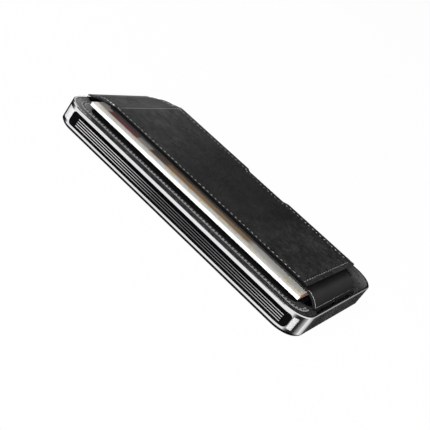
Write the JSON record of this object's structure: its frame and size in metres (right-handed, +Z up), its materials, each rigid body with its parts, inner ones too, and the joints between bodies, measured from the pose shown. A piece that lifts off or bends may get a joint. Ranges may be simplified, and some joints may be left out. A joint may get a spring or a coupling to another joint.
{
  "type": "minimalist wallet",
  "caption": "Slim metal card case with ribbed sides, leather trims and a hinged leather-covered money clip that holds folded banknotes.",
  "frame": {"origin": "centre of the base, under the middle of the case", "axes": "+X along the case towards the clip's hinge, +Y across the case, +Z up, away from the base. The cards leave towards -X, the banknotes towards -Y."},
  "size_m": [0.1, 0.062, 0.0123],
  "materials": {
    "chassis_metal": "polished dark metal",
    "rib_metal": "black with bright rib edges",
    "deck_black": "matte black",
    "trim_leather": "dark grey leather, stitched",
    "cover_leather": "dark grey mottled leather, stitched",
    "leaf_black": "gloss black",
    "board_black": "matte black board",
    "pad_rubber": "matte",
    "hinge_steel": "satin",
    "spring_steel": "satin",
    "fastener_steel": "satin",
    "card_plastic": "satin plain card",
    "note_paper": "matte cotton paper with a printed field"
  },
  "bodies": {
    "case": {"chassis_frame": "chassis_metal", "deck_plate": "deck_black", "deck_screws": "fastener_steel", "leather_trim_left": "trim_leather", "leather_trim_right": "trim_leather", "rib_insert_left": "rib_metal", "rib_insert_right": "rib_metal", "side_spring_left": "spring_steel", "side_spring_right": "spring_steel", "hinge_bracket": "hinge_steel", "bracket_screws": "fastener_steel", "hinge_pin": "hinge_steel", "torsion_spring": "spring_steel"},
    "money_clip": {"clip_leaf": "leaf_black", "clip_board": "board_black", "clip_cover": "cover_leather", "clip_rivets": "fastener_steel", "grip_pad": "pad_rubber"},
    "banknotes": {"banknote_outer": "note_paper", "banknote_stack": "note_paper"},
    "card_1": {"card_1": "card_plastic"},
    "card_2": {"card_2": "card_plastic"},
    "card_3": {"card_3": "card_plastic"},
    "card_4": {"card_4": "card_plastic"}
  },
  "joints": [
    {"name": "clip_hinge", "type": "hinge", "parent": "case", "child": "money_clip", "pos_m": [0.04705, -0.0024, 0.00577], "axis": [0, 1, 0], "range_deg": [0, 40], "stiffness_Nm_per_rad": 0.08, "springref_deg": -28.65, "deforming": ["torsion_spring"]},
    {"name": "note_slide", "type": "slide", "parent": "case", "child": "banknotes", "axis": [0, -1, 0], "range_m": [0, 0.046]},
    {"name": "card_1_slide", "type": "slide", "parent": "case", "child": "card_1", "axis": [-1, 0, 0], "range_m": [0, 0.07]},
    {"name": "card_2_slide", "type": "slide", "parent": "case", "child": "card_2", "axis": [-1, 0, 0], "range_m": [0, 0.07]},
    {"name": "card_3_slide", "type": "slide", "parent": "case", "child": "card_3", "axis": [-1, 0, 0], "range_m": [0, 0.07]},
    {"name": "card_4_slide", "type": "slide", "parent": "case", "child": "card_4", "axis": [-1, 0, 0], "range_m": [0, 0.07]}
  ]
}
